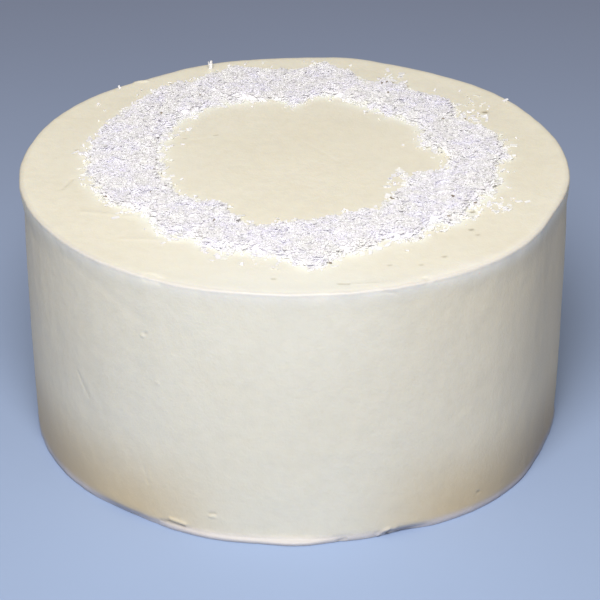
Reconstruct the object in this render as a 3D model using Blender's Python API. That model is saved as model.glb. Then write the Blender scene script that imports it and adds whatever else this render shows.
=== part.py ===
"""A tall round layer cake, uncut, with smooth cream all over it and a ring of
desiccated coconut on its top. It is one solid piece.

Metres, +Z up. The cake stands on z = 0 with the origin under its middle, and
its front faces -Y. Angles are in degrees, counted from +X towards +Y.
"""

import math
import random

import bmesh
import bpy
from mathutils import Matrix, Vector, noise
from mathutils.bvhtree import BVHTree

# The cake, a nine inch round
CAKE_RADIUS = 0.1124
CAKE_HEIGHT = 0.1135
SIDE_TAPER = 0.0014
SIDE_BELLY = 0.0007
SIDE_ROWS = 5
SEGMENTS = 108

# The cream's rim, which stands a little proud of the side, and its foot
RIM_LIP = 0.0001
RIM_DEPTH = 0.0085
RIM_ROUNDING = 0.0012
RIM_TURNS = 3
TOP_DISH = 0.0004
FOOT_LIP = 0.0002
FOOT_HEIGHT = 0.0018

# Where the rim's curve starts and how the foot's smear goes, as shares of their lip and height
RIM_START_OUT = 0.35
RIM_START_DOWN = 0.45
FOOT_CURVE = ((1.0, 0.3), (0.8, 0.75), (0.0, 1.2))

# Where the hand-spread cream swells or thins: angle, half width in degrees, metres. The swells
# fade out towards the middle of the top, below the rim and above the foot.
EDGE_ZONE = 0.4
RIM_ZONE_DEPTH = 0.0136
RIM_ZONE_FADE = 0.0119
FOOT_ZONE = 1.5
SIDE_SWELLS = (
    (-90.0, 20.0, -0.0016),
    (-45.0, 14.0, 0.0016),
    (-20.0, 10.0, -0.0012),
    (42.0, 14.0, 0.0012),
    (124.0, 9.0, -0.0014),
    (153.0, 14.0, 0.0016),
)
RIM_SWELLS = (
    (78.0, 8.0, 0.0024),
    (184.0, 22.0, 0.0015),
    (-2.0, 26.0, 0.0009),
    (-46.0, 13.0, 0.0004),
)
FOOT_SWELLS = (
    (-128.0, 8.0, -0.0016),
    (-104.0, 12.0, 0.0014),
    (-90.0, 6.0, 0.0018),
    (-67.5, 4.5, -0.0022),
)

# The ring of coconut, a little behind the middle of the top
RING_CENTRE = (0.001, 0.009)
RING_INNER = 0.0600
RING_OUTER = 0.0870
RING_INNER_SWELLS = (
    (2.0, 5.0, 0.0030),
    (14.0, 8.0, -0.0055),
    (49.0, 5.0, -0.0030),
    (78.0, 8.0, 0.0035),
    (92.0, 6.0, -0.0070),
    (130.0, 22.0, 0.0040),
    (184.0, 16.0, -0.0035),
    (234.0, 10.0, -0.0065),
    (254.0, 10.0, 0.0055),
    (291.0, 17.0, -0.0030),
    (319.0, 8.0, -0.0070),
    (336.0, 9.0, -0.0115),
    (349.0, 6.0, 0.0060),
)
RING_OUTER_SWELLS = (
    (28.0, 8.0, -0.0100),
    (50.0, 7.0, -0.0045),
    (67.0, 5.0, -0.0060),
    (82.0, 5.0, 0.0085),
    (107.0, 9.0, 0.0070),
    (130.0, 12.0, 0.0040),
    (220.0, 8.0, -0.0070),
    (240.0, 3.0, -0.0045),
    (273.0, 6.0, 0.0110),
    (295.0, 4.0, -0.0055),
    (310.0, 4.0, -0.0080),
    (330.0, 9.0, -0.0035),
    (351.0, 7.0, -0.0050),
)
BANK_HEIGHT = 0.0026
BANK_SLOPE = 0.0050
BANK_MARGIN = 0.0040
BANK_ROWS = 11
BANK_EVEN = 0.9
BANK_CLUMPS = 0.4
BARE_MIDDLE = 0.88
CLUMP_SIZE = 0.0085
RAGGED_EDGE = 0.0026
RAGGED_SIZE = 0.0055
CRUMB_RELIEF = 0.0011
COCONUT_RISE = 0.3

# The largest flakes, which lie on the bank and show from a step away
FLAKE_COUNT = 160
FLAKE_LENGTH = (0.0030, 0.0048)
FLAKE_WIDTH = (0.0018, 0.0028)
FLAKE_THICKNESS = 0.0011
FLAKE_TILT = 24.0
FLAKE_SINK = 0.0001
FLAKE_BEND = 0.0004
FLAKE_BENDS = (-0.5, 1.0)
FLAKE_ENDS = (0.7, 1.1)
FLAKE_SIDES = (0.6, 1.1)
FLAKE_RISE = 0.35

# They are spread evenly round the ring by the golden angle, and across it by a share like it
GOLDEN_ANGLE = 137.50776
GOLDEN_SHARE = 0.7548777
SPARE_INSIDE = 0.013
SPARE_OUTSIDE = 0.009

# Flakes that fell outside the ring, as x and y
STRAY_FLAKES = (
    (-0.0768, 0.0795),
    (-0.0374, 0.1006),
    (0.0912, 0.0646),
    (0.0482, 0.0850),
    (0.0722, -0.0452),
    (0.0847, -0.0380),
)

CREAM_COLOUR = (0.82, 0.77, 0.63)
CREAM_ROUGHNESS = 0.5
COCONUT_COLOUR = (0.93, 0.91, 0.94)
COCONUT_ROUGHNESS = 0.6
SHARP_ANGLE = 30.0
WELD_DISTANCE = 0.00001
SEED = 5


def clear_scene():
    for old in list(bpy.data.objects):
        bpy.data.objects.remove(old, do_unlink=True)


def make_material(name, colour, roughness):
    material = bpy.data.materials.new(name)
    material.use_nodes = True
    shader = material.node_tree.nodes["Principled BSDF"]
    shader.inputs["Base Color"].default_value = (*colour, 1.0)
    shader.inputs["Roughness"].default_value = roughness
    shader.inputs["Metallic"].default_value = 0.0
    return material


def smooth_step(amount):
    amount = min(1.0, max(0.0, amount))
    return amount * amount * (3.0 - 2.0 * amount)


def swell(angle, swells):
    """Sum of the rounded swells that reach this angle."""
    total = 0.0
    for middle, half_width, size in swells:
        away = (angle - middle + 180.0) % 360.0 - 180.0
        total += size * math.exp(-((away / half_width) ** 2))
    return total


def grain(x, y, size):
    """Smooth noise from -1 to 1 whose lumps are about this size."""
    return noise.noise(Vector((x, y, 0.0)) / size)


def ring_edges(angle):
    """How far the ring's inner and outer edges are from its own middle."""
    inner = RING_INNER + swell(angle, RING_INNER_SWELLS)
    outer = RING_OUTER + swell(angle, RING_OUTER_SWELLS)
    return inner, outer


def ring_rise(x, y):
    """0 outside the coconut, 1 on its bank, sloping between its ragged edges."""
    across = x - RING_CENTRE[0]
    along = y - RING_CENTRE[1]
    reach = math.hypot(across, along)
    inner, outer = ring_edges(math.degrees(math.atan2(along, across)))
    ragged = RAGGED_EDGE * grain(x, y, RAGGED_SIZE)
    return smooth_step((min(reach - inner, outer - reach) + ragged) / BANK_SLOPE)


def bank_height(x, y):
    """Height of the coconut over the cream, in clumps."""
    clump = BANK_EVEN + BANK_CLUMPS * grain(x + 1.0, y, CLUMP_SIZE)
    return BANK_HEIGHT * clump * ring_rise(x, y)


def side_profile():
    """Radius and height of the cream's outline, from under its middle to its rim."""
    foot = CAKE_RADIUS - SIDE_TAPER
    profile = [(0.0, 0.0), (0.5 * foot, 0.0), (foot, 0.0)]
    for out, up in FOOT_CURVE:
        profile.append((foot + out * FOOT_LIP, up * FOOT_HEIGHT))
    side_bottom = profile[-1][1]
    side_top = CAKE_HEIGHT - RIM_DEPTH
    for row in range(1, SIDE_ROWS + 1):
        share = row / SIDE_ROWS
        height = side_bottom + (side_top - side_bottom) * share
        radius = foot + SIDE_TAPER * share + SIDE_BELLY * math.sin(math.pi * share)
        profile.append((radius, height))
    return profile


def rim_profile():
    """The rounded rim and the plain cream inside it, up to the coconut."""
    edge = CAKE_RADIUS + RIM_LIP
    start = (CAKE_RADIUS + RIM_START_OUT * RIM_LIP, CAKE_HEIGHT - RIM_START_DOWN * RIM_DEPTH)
    profile = [start]
    for turn in range(RIM_TURNS + 1):
        angle = math.radians(90.0 * turn / RIM_TURNS)
        radius = edge - RIM_ROUNDING * (1.0 - math.cos(angle))
        height = CAKE_HEIGHT - RIM_ROUNDING * (1.0 - math.sin(angle))
        profile.append((radius, height))
    return profile


def top_profile():
    """The rings of points over the coconut and the bare middle."""
    profile = []
    for row in range(BANK_ROWS + 1):
        radius = RING_OUTER + (RING_INNER - RING_OUTER) * row / BANK_ROWS
        profile.append((radius, CAKE_HEIGHT - TOP_DISH))
    profile.append((BARE_MIDDLE * RING_INNER, CAKE_HEIGHT - TOP_DISH))
    profile.append((0.0, CAKE_HEIGHT - TOP_DISH))
    return profile


def follow_ring(point):
    """Moves a point of the turned top so that the rows run along the ring's own edges."""
    radius = math.hypot(point.x, point.y)
    if radius > RING_OUTER + WELD_DISTANCE or point.z < CAKE_HEIGHT - 2.0 * TOP_DISH:
        return
    angle = math.atan2(point.y, point.x)
    inner, outer = ring_edges(math.degrees(angle))
    share = (radius - RING_INNER) / (RING_OUTER - RING_INNER)
    inside = min(1.0, radius / RING_INNER)
    start = (inner - BANK_MARGIN) * inside
    reach = start + max(0.0, share) * (outer + BANK_MARGIN - start)
    point.x = RING_CENTRE[0] * inside + reach * math.cos(angle)
    point.y = RING_CENTRE[1] * inside + reach * math.sin(angle)


def spread_by_hand(point):
    """Moves a point of the turned shape to where the uneven cream has it."""
    radius = math.hypot(point.x, point.y)
    angle = math.degrees(math.atan2(point.y, point.x))
    near_edge = smooth_step(1.0 - (1.0 - radius / CAKE_RADIUS) / EDGE_ZONE)
    near_rim = smooth_step((point.z - CAKE_HEIGHT + RIM_ZONE_DEPTH) / RIM_ZONE_FADE)
    near_foot = smooth_step(FOOT_ZONE - point.z / FOOT_HEIGHT)
    outward = swell(angle, SIDE_SWELLS)
    outward += near_rim * swell(angle, RIM_SWELLS)
    outward += near_foot * swell(angle, FOOT_SWELLS)
    if radius > 0.0:
        scale = 1.0 + near_edge * outward / radius
        point.x *= scale
        point.y *= scale


def cream_body(cream, coconut):
    """The cake with its cream and the bank of coconut, turned from one outline."""
    bm = bmesh.new()
    profile = side_profile() + rim_profile() + top_profile()
    points = [bm.verts.new((radius, 0.0, height)) for radius, height in profile]
    for low, high in zip(points, points[1:]):
        bm.edges.new((low, high))
    bmesh.ops.spin(
        bm,
        geom=bm.verts[:] + bm.edges[:],
        cent=(0.0, 0.0, 0.0),
        axis=(0.0, 0.0, 1.0),
        angle=math.tau,
        steps=SEGMENTS,
        use_merge=True,
    )
    bmesh.ops.remove_doubles(bm, verts=bm.verts[:], dist=WELD_DISTANCE)
    bmesh.ops.recalc_face_normals(bm, faces=bm.faces[:])
    crumbs = random.Random(SEED)
    for vert in bm.verts:
        on_top = vert.co.z > CAKE_HEIGHT - 2.0 * TOP_DISH
        spread_by_hand(vert.co)
        follow_ring(vert.co)
        lift = crumbs.uniform(-1.0, 1.0)
        if on_top:
            x, y = vert.co.x, vert.co.y
            vert.co.z += bank_height(x, y) + CRUMB_RELIEF * lift * ring_rise(x, y)
    bmesh.ops.triangulate(bm, faces=bm.faces[:])
    for face in bm.faces:
        middle = face.calc_center_median()
        on_top = middle.z > CAKE_HEIGHT - RIM_DEPTH
        on_bank = on_top and ring_rise(middle.x, middle.y) > COCONUT_RISE
        face.material_index = 1 if on_bank else 0
    mesh = bpy.data.meshes.new("cake")
    bm.to_mesh(mesh)
    bm.free()
    mesh.materials.append(cream)
    mesh.materials.append(coconut)
    cake = bpy.data.objects.new("cake", mesh)
    bpy.context.scene.collection.objects.link(cake)
    return cake


def surface_under(body, x, y):
    """The point and the normal of the top where a flake at x, y comes down."""
    point, normal, _, _ = body.ray_cast(Vector((x, y, 2.0 * CAKE_HEIGHT)), Vector((0.0, 0.0, -1.0)))
    return point, normal


def ring_places(count):
    """Evenly spread places on the bank: golden-angle steps, kept where the bank stands."""
    places = []
    step = 0
    inner = RING_INNER - SPARE_INSIDE
    outer = RING_OUTER + SPARE_OUTSIDE
    while len(places) < count:
        step += 1
        share = (step * GOLDEN_SHARE) % 1.0
        reach = math.sqrt(inner**2 + (outer**2 - inner**2) * share)
        angle = math.radians(step * GOLDEN_ANGLE)
        x = RING_CENTRE[0] + reach * math.cos(angle)
        y = RING_CENTRE[1] + reach * math.sin(angle)
        if ring_rise(x, y) > FLAKE_RISE:
            places.append((x, y))
    return places


def flake(name, body, x, y, draw, coconut):
    """One bent, ragged flake, part sunk in what it lies on."""
    length = draw.uniform(*FLAKE_LENGTH)
    width = draw.uniform(*FLAKE_WIDTH)
    bm = bmesh.new()
    size = Matrix.Diagonal((length, width, FLAKE_THICKNESS, 1.0))
    bmesh.ops.create_cube(bm, size=1.0, matrix=size)
    for vert in bm.verts:
        vert.co.x *= draw.uniform(*FLAKE_ENDS)
        vert.co.y *= draw.uniform(*FLAKE_SIDES)
        vert.co.z += FLAKE_BEND * draw.uniform(*FLAKE_BENDS)
    bmesh.ops.triangulate(bm, faces=bm.faces[:])
    point, normal = surface_under(body, x, y)
    lie = normal.to_track_quat("Z", "Y").to_matrix().to_4x4()
    turn = Matrix.Rotation(draw.uniform(0.0, math.tau), 4, "Z")
    tilt = Matrix.Rotation(math.radians(draw.uniform(-FLAKE_TILT, FLAKE_TILT)), 4, "Y")
    place = Matrix.Translation(point - normal * FLAKE_SINK)
    bm.transform(place @ lie @ turn @ tilt)
    mesh = bpy.data.meshes.new(name)
    bm.to_mesh(mesh)
    bm.free()
    mesh.materials.append(coconut)
    return bpy.data.objects.new(name, mesh)


def scatter_flakes(cake, coconut):
    """The collection of flakes that the union then fuses to the cake."""
    flakes = bpy.data.collections.new("flakes")
    bpy.context.scene.collection.children.link(flakes)
    bm = bmesh.new()
    bm.from_mesh(cake.data)
    body = BVHTree.FromBMesh(bm)
    bm.free()
    draw = random.Random(SEED)
    for number, (x, y) in enumerate(ring_places(FLAKE_COUNT) + list(STRAY_FLAKES)):
        flakes.objects.link(flake(f"flake_{number}", body, x, y, draw, coconut))
    return flakes


def fuse(cake, flakes):
    """One union makes the cake and its flakes a single solid."""
    union = cake.modifiers.new("flakes", "BOOLEAN")
    union.operation = "UNION"
    union.operand_type = "COLLECTION"
    union.collection = flakes
    union.solver = "MANIFOLD"
    union.material_mode = "TRANSFER"
    bpy.context.view_layer.objects.active = cake
    bpy.ops.object.modifier_apply(modifier=union.name)
    for loose in list(flakes.objects):
        bpy.data.objects.remove(loose, do_unlink=True)
    bpy.data.collections.remove(flakes)


def keep_one_body(cake):
    """Drops every scrap and sealed hollow, and leaves the cake's own shell."""
    bm = bmesh.new()
    bm.from_mesh(cake.data)
    bmesh.ops.triangulate(bm, faces=bm.faces[:])
    unseen = set(bm.faces)
    shells = []
    while unseen:
        first = unseen.pop()
        shell = [first]
        to_search = [first]
        while to_search:
            for edge in to_search.pop().edges:
                if len(edge.link_faces) != 2:
                    continue
                fresh = [near for near in edge.link_faces if near in unseen]
                unseen.difference_update(fresh)
                shell.extend(fresh)
                to_search.extend(fresh)
        shells.append(shell)
    shells.sort(key=len)
    scraps = [face for shell in shells[:-1] for face in shell]
    bmesh.ops.delete(bm, geom=scraps, context="FACES")
    bm.to_mesh(cake.data)
    bm.free()


def centre_on_origin(cake):
    """Slides the uneven round so that its box stands on the middle of the origin."""
    xs = [vert.co.x for vert in cake.data.vertices]
    ys = [vert.co.y for vert in cake.data.vertices]
    slide = Vector((-(min(xs) + max(xs)) / 2.0, -(min(ys) + max(ys)) / 2.0, 0.0))
    cake.data.transform(Matrix.Translation(slide))


def make_cake():
    cream = make_material("cream", CREAM_COLOUR, CREAM_ROUGHNESS)
    coconut = make_material("coconut", COCONUT_COLOUR, COCONUT_ROUGHNESS)
    cake = cream_body(cream, coconut)
    fuse(cake, scatter_flakes(cake, coconut))
    keep_one_body(cake)
    centre_on_origin(cake)
    cake.data.shade_smooth()
    cake.data.set_sharp_from_angle(angle=math.radians(SHARP_ANGLE))


clear_scene()
make_cake()
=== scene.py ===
"""A tall round layer cake, uncut: ivory cream spread smooth all over it, and a ring of fine
desiccated coconut strewn on its top.

Metres, +Z up. The cake stands on z = 0 and its front faces -Y. Angles are in degrees, counted
from +X towards +Y.
"""

import math
import random

import bmesh
import bpy
import numpy as np
from mathutils import Euler, Matrix, Vector, noise
from mathutils.bvhtree import BVHTree


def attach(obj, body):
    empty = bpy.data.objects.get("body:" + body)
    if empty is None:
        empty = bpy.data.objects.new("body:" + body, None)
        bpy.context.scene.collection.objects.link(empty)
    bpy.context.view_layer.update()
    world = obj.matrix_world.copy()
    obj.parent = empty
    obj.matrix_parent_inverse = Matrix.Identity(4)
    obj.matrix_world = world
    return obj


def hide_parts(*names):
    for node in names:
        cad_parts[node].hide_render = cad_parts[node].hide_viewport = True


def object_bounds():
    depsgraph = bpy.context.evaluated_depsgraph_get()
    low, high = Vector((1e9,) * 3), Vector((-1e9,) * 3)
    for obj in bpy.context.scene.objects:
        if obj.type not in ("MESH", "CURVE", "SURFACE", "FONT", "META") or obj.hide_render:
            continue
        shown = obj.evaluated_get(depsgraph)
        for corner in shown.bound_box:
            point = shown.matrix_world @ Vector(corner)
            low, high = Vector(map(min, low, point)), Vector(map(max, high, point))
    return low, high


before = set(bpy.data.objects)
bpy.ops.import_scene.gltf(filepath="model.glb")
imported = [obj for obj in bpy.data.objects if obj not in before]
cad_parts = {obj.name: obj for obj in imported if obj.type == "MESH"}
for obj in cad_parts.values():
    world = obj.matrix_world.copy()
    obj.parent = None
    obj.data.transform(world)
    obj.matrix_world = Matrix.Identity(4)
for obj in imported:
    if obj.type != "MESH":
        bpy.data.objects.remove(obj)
cad_low, cad_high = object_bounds()

# The coat of cream. It is ivory butter cream, put on with a palette knife and scraped smooth while
# the cake turns: the side swells and thins by a millimetre or two, the rim is sharp and stands
# proud here and there, and the foot ends in a thin uneven smear.
CAKE_RADIUS = 0.1124
CAKE_HEIGHT = 0.1135
SIDE_TAPER = 0.0014
SIDE_BELLY = 0.0007
RIM_LIP = 0.0001
RIM_DEPTH = 0.0085
RIM_ROUNDING = 0.0009
TOP_DISH = 0.0004
DISH_STEEPNESS = 6.0
FOOT_LIP = 0.0002
FOOT_HEIGHT = 0.0018
SMEAR_TOP = 1.2 * FOOT_HEIGHT
MIDDLE_RADIUS = 0.050
ROUND_STEPS = 480
FOOT_ROWS = 6
SIDE_ROWS = 68
RIM_ROWS = 6
ROUNDING_ROWS = 8
TOP_ROWS = 42

# Where the hand-spread cream swells or thins: angle, half width in degrees, metres
SIDE_SWELLS = (
    (-90.0, 20.0, -0.0016),
    (-45.0, 14.0, 0.0016),
    (-20.0, 10.0, -0.0012),
    (42.0, 14.0, 0.0012),
    (124.0, 9.0, -0.0014),
    (153.0, 14.0, 0.0016),
)
RIM_SWELLS = (
    (78.0, 8.0, 0.0024),
    (184.0, 22.0, 0.0015),
    (-2.0, 26.0, 0.0009),
    (-46.0, 13.0, 0.0004),
)
FOOT_SWELLS = (
    (-128.0, 8.0, -0.0016),
    (-104.0, 12.0, 0.0014),
    (-90.0, 6.0, 0.0018),
    (-67.5, 4.5, -0.0022),
)

# Where they set in: as a share of the radius on the top and the underside, and on the side in rim
# depths under the rim and in foot heights over the floor
SWELL_FROM = 0.6
RIM_SWELL_FROM = 1.6
RIM_SWELL_OVER = 1.4
FOOT_SWELL_TO = 1.5
ON_SIDE = 0.97
LEAST_RADIUS = 0.001

# How uneven the knife left it: the size of the lumps and their height, on the top and the side,
# where its strokes drew them out up and down. It sets in over two foot heights from the floor.
TOP_UNEVENNESS = ((0.034, 0.00030), (0.011, 0.00005), (0.0045, 0.00002))
SIDE_UNEVENNESS = ((0.019, 0.00022), (0.0060, 0.00012), (0.0028, 0.00007))
SIDE_START = 7.0
SIDE_STRETCH = 0.5
EVEN_FOOT = 2.0 * FOOT_HEIGHT

# How the rim and the foot waver along their length: by how much, in waves of this size, from this
# start and in this share, and how far from the rim's edge and in over the top
RIM_WOBBLE = 0.00030
RIM_WAVES = ((0.012, 3.0, 1.0), (0.004, 5.0, 0.5))
RIM_WOBBLE_REACH = 0.0022
RIM_WOBBLE_FROM = 0.006
RIM_WOBBLE_OVER = 0.004
RIM_RISE = 0.4
RIM_RISE_SIZE = 0.008
RIM_RISE_START = 13.0
FOOT_WOBBLE = 0.00025
FOOT_WAVES = ((0.009, 9.0, 1.0), (0.0035, 2.0, 0.6))
FOOT_WOBBLE_FROM = 0.9 * CAKE_RADIUS

# Marks in the top: from x, y to x, y, half width, depth and how dark the painted shade inside it
# is, from 0 to 1.
# A ridge has a negative depth.
TOP_MARKS = (
    ((0.0024, 0.0264), (0.0209, 0.0018), 0.0010, 0.00005, 0.00),
    ((-0.0517, 0.0247), (-0.0333, 0.0304), 0.0009, 0.00006, 0.00),
    ((-0.0469, 0.0291), (-0.0462, 0.0293), 0.0006, 0.00015, 0.35),
    ((-0.0342, 0.0324), (-0.0330, 0.0326), 0.0006, 0.00015, 0.35),
    ((-0.0854, -0.0395), (-0.0614, -0.0450), 0.0014, -0.00016, 0.00),
    ((-0.0681, -0.0633), (-0.0410, -0.0652), 0.0014, -0.00014, 0.00),
    ((-0.0950, -0.0186), (-0.0915, -0.0093), 0.0007, 0.00030, 0.15),
    ((0.0165, -0.1015), (0.0203, -0.1017), 0.0007, 0.00020, 0.35),
    ((0.0215, -0.1022), (0.0325, -0.1016), 0.0008, -0.00010, 0.00),
    ((-0.0705, 0.0864), (-0.0653, 0.0874), 0.0009, -0.00050, 0.00),
    ((0.0814, 0.0543), (0.0822, 0.0545), 0.0010, 0.00030, 0.95),
    ((0.0418, 0.0853), (0.0426, 0.0851), 0.0009, 0.00025, 0.80),
    ((0.0480, 0.0820), (0.0489, 0.0818), 0.0009, 0.00025, 0.80),
    ((0.0577, -0.0797), (0.0583, -0.0795), 0.0008, 0.00020, 0.55),
    ((0.0485, -0.0863), (0.0489, -0.0861), 0.0007, 0.00012, 0.35),
    ((0.0361, -0.0862), (0.0368, -0.0860), 0.0007, 0.00012, 0.35),
    ((0.0695, -0.0565), (0.0700, -0.0563), 0.0008, 0.00020, 0.75),
    ((0.0719, -0.0611), (0.0723, -0.0609), 0.0007, 0.00012, 0.45),
    ((0.0706, -0.0413), (0.0714, -0.0410), 0.0008, 0.00020, 0.85),
    ((-0.0089, -0.0973), (-0.0083, -0.0973), 0.0008, 0.00020, 0.40),
    ((-0.0920, 0.0185), (-0.0914, 0.0188), 0.0007, 0.00015, 0.45),
)

# Marks in the side: from angle, height to angle, height, half width, depth and darkness of the
# painted shade inside
SIDE_MARKS = (
    ((-122.3, 0.0870), (-122.1, 0.0872), 0.0008, -0.00035, 0.00),
    ((-121.6, 0.0884), (-121.3, 0.0888), 0.0006, 0.00015, 0.20),
    ((-119.0, 0.0676), (-118.8, 0.0676), 0.0007, -0.00020, 0.00),
    ((-108.3, 0.0113), (-107.3, 0.0116), 0.0006, 0.00025, 0.20),
    ((-108.1, 0.0100), (-107.4, 0.0102), 0.0007, -0.00035, 0.00),
    ((-49.4, 0.0084), (-49.1, 0.0083), 0.0007, 0.00030, 0.50),
    ((-140.9, 0.0561), (-138.0, 0.0478), 0.0009, 0.00012, 0.00),
    ((-123.2, 0.0260), (-122.2, 0.0190), 0.0009, 0.00012, 0.00),
    ((-147.0, 0.1085), (-133.3, 0.1029), 0.0022, 0.00010, 0.00),
    ((-133.3, 0.1029), (-122.5, 0.0939), 0.0022, 0.00010, 0.00),
    ((-119.6, 0.0027), (-117.8, 0.0030), 0.0006, 0.00025, 0.25),
    ((-117.8, 0.0030), (-114.1, 0.0026), 0.0006, 0.00040, 0.40),
    ((-117.3, 0.0048), (-114.0, 0.0038), 0.0008, -0.00045, 0.00),
    ((-81.3, 0.0005), (-79.9, 0.0012), 0.0008, 0.00035, 0.15),
    ((-72.8, 0.0008), (-70.6, 0.0030), 0.0008, -0.00055, 0.00),
    ((-70.8, 0.0003), (-70.3, 0.0020), 0.0008, 0.00040, 0.20),
    ((-121.5, 0.1128), (-118.1, 0.1127), 0.0012, 0.00030, 0.00),
    ((-63.3, 0.1132), (-62.7, 0.1132), 0.0008, 0.00025, 0.10),
    ((-72.4, 0.1124), (-69.8, 0.1108), 0.0008, 0.00012, 0.10),
)

# The mesh is finer beside the narrow ones
FINE_MARK = 0.0015
FINE_REACH = 0.0040
FINE_CUTS = 2

# A painted highlight on the rim's lip along the front, in a strip that is wider on the right
LIP_WIDTH = 0.0024
LIP_SWELLS = (
    (-57.0, 14.0, 0.0046),
    (-140.0, 18.0, -0.0012),
)
LIP_DROP = 0.0038
RIM_HIGHLIGHT_AMOUNT = 0.65
LIP_FRONT = 0.085

# Painted shade along the rim's very edge, which is made less white
EDGE_WIDTH = 0.0011

# The top's front is a little paler too, a painted sheen: round the rim, by angle, half width and
# amount, how far in from the rim it reaches, and how far down, in roundings of the rim
FRONT_SHEEN_SWELLS = ((-92.0, 30.0, 1.0),)
FRONT_SHEEN_REACH = 0.028
FRONT_SHEEN_DEPTH = 1.5

# Painted warm shade on the side: the cream is tinted warmer and darker round the side, by angle,
# half width and amount, and low down on the left and the right
WARM_SHADE_SWELLS = (
    (-5.0, 52.0, 0.60),
    (180.0, 42.0, 0.38),
)
LOW_CREAM = 0.045
LOW_WARM_SHADE = 0.90
LOW_CREAM_BACK = 0.060
LOW_CREAM_OVER = 0.055
FLANK_FROM = 0.020
FLANK_OVER = 0.050

# Painted shade low down beside the front, round the side by angle, half width and amount
LOW_SHADE_SWELLS = (
    (-25.0, 24.0, 1.0),
    (-155.0, 20.0, 0.65),
)
LOW_SHADE_HEIGHT = 0.040

# Painted shade along the foot's smear, most of all on the left and the right
FOOT_SHADE_HEIGHT = 0.0012
FOOT_SHADE_FADE = 0.0032
FOOT_SHADE_LEAST = 0.85

# For the making: the first face, how points are merged, found again and selected, and the shading
START_SIZE = 0.01
MERGE_DISTANCE = 0.000001
SAME_PLACE_DIGITS = 7
SELECT_MARGIN = 0.0001
SMOOTH_ANGLE = 50.0
SHORTEST_LINE = 1e-12


def smooth_step(amount):
    amount = np.clip(amount, 0.0, 1.0)
    return amount * amount * (3.0 - 2.0 * amount)


def swell(angle, swells):
    """Sum of the rounded swells that reach this angle."""
    total = 0.0 * angle
    for middle, half_width, size in swells:
        away = (angle - middle + 180.0) % 360.0 - 180.0
        total = total + size * np.exp(-((away / half_width) ** 2))
    return total


def lumps(points, size, start=0.0):
    """Smooth noise from -1 to 1 at each point, with lumps of about this size."""
    return np.array([noise.noise(point) for point in (points / size + start).tolist()])


def sum_of_lumps(points, waves):
    """Several such noises in one: their size, where they start and their share."""
    total = 0.0
    for size, start, share in waves:
        total = total + share * lumps(points, size, start)
    return total


def cream_outline():
    """Radius and height of the coat, from under its middle over the rim to the middle's edge."""
    foot = CAKE_RADIUS - SIDE_TAPER
    outline = [(0.0, 0.0), (0.5 * foot, 0.0), (foot, 0.0)]
    for row in range(1, FOOT_ROWS + 1):
        share = row / FOOT_ROWS
        outline.append((foot + FOOT_LIP * math.sin(math.pi * share), SMEAR_TOP * share))
    side_top = CAKE_HEIGHT - RIM_DEPTH
    for row in range(1, SIDE_ROWS + 1):
        share = row / SIDE_ROWS
        radius = foot + SIDE_TAPER * share + SIDE_BELLY * math.sin(math.pi * share)
        outline.append((radius, SMEAR_TOP + (side_top - SMEAR_TOP) * share))
    edge = CAKE_RADIUS + RIM_LIP
    for row in range(1, RIM_ROWS + 1):
        share = row / RIM_ROWS
        height = side_top + (RIM_DEPTH - RIM_ROUNDING) * share
        outline.append((CAKE_RADIUS + RIM_LIP * share * share, height))
    for row in range(1, ROUNDING_ROWS + 1):
        turn = 0.5 * math.pi * row / ROUNDING_ROWS
        radius = edge - RIM_ROUNDING * (1.0 - math.cos(turn))
        outline.append((radius, CAKE_HEIGHT - RIM_ROUNDING * (1.0 - math.sin(turn))))
    flat_edge = edge - RIM_ROUNDING
    for row in range(1, TOP_ROWS + 1):
        share = row / TOP_ROWS
        radius = flat_edge + (MIDDLE_RADIUS - flat_edge) * share
        dish = TOP_DISH * float(smooth_step(DISH_STEEPNESS * share))
        outline.append((radius, CAKE_HEIGHT - dish))
    return outline


def turn_outline(name, outline, steps):
    """One vertex is extruded along the outline, which is then spun into a round."""
    bpy.ops.object.select_all(action="DESELECT")
    bpy.ops.mesh.primitive_plane_add(size=START_SIZE, location=(0.0, 0.0, 0.0))
    piece = bpy.context.object
    piece.name = name
    piece.data.name = name
    bpy.ops.object.mode_set(mode="EDIT")
    bpy.ops.mesh.select_all(action="SELECT")
    bpy.ops.mesh.merge(type="CENTER")
    bpy.ops.transform.translate(value=(outline[0][0], 0.0, outline[0][1]))
    for here, there in zip(outline, outline[1:]):
        step = (there[0] - here[0], 0.0, there[1] - here[1])
        bpy.ops.mesh.extrude_region_move(TRANSFORM_OT_translate={"value": step})
    bpy.ops.mesh.select_all(action="SELECT")
    bpy.ops.mesh.spin(steps=steps, angle=math.tau, center=(0.0, 0.0, 0.0), axis=(0.0, 0.0, 1.0))
    bpy.ops.mesh.select_all(action="SELECT")
    bpy.ops.mesh.remove_doubles(threshold=MERGE_DISTANCE)
    return piece


def select_where(piece, wanted):
    """In edit mode, selects the vertices that pass the test, and what they span."""
    bpy.ops.mesh.select_mode(type="VERT")
    bpy.ops.mesh.select_all(action="DESELECT")
    bm = bmesh.from_edit_mesh(piece.data)
    for vert in bm.verts:
        if wanted(vert.co):
            vert.select_set(True)
    bm.select_flush(True)
    bmesh.update_edit_mesh(piece.data)


def read_points(piece, what="co"):
    values = np.empty(len(piece.data.vertices) * 3)
    piece.data.vertices.foreach_get(what, values)
    return values.reshape(-1, 3)


def write_points(piece, points):
    piece.data.vertices.foreach_set("co", points.ravel())
    piece.data.update()


def away_from(points, start, end):
    """How far each point is from the straight line between two others."""
    line = end - start
    share = np.clip((points - start) @ line / max(line @ line, SHORTEST_LINE), 0.0, 1.0)
    return np.linalg.norm(points - start - share[:, None] * line, axis=1)


def on_top(place):
    return np.array((place[0], place[1], CAKE_HEIGHT - TOP_DISH))


def on_side(place):
    angle = math.radians(place[0])
    return np.array((CAKE_RADIUS * math.cos(angle), CAKE_RADIUS * math.sin(angle), place[1]))


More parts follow.
